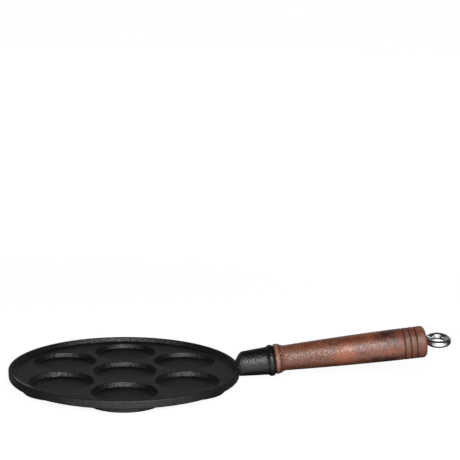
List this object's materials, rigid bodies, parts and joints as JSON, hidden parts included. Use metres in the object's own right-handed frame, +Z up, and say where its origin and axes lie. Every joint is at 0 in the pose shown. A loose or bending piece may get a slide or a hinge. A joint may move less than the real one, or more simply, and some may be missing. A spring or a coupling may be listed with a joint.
{
  "type": "plett pan",
  "caption": "Round cast-iron pan with shallow round wells for small pancakes, a cast socket, a turned wooden handle and a steel hanging eye.",
  "frame": {"origin": "middle of the pan, on the surface that it stands on", "axes": "+Z up, +X along the handle, which rises gently from the rim"},
  "size_m": [0.4462, 0.23, 0.0546],
  "materials": {
    "seasoned_iron": "black seasoned cast iron with a fine sand-cast grain",
    "walnut": "turned reddish-brown walnut, oiled, satin",
    "bright_steel": "bright plated steel"
  },
  "bodies": {
    "root": {"pan_casting": "seasoned_iron", "wooden_handle": "walnut", "eye_rod": "bright_steel"}
  },
  "joints": []
}
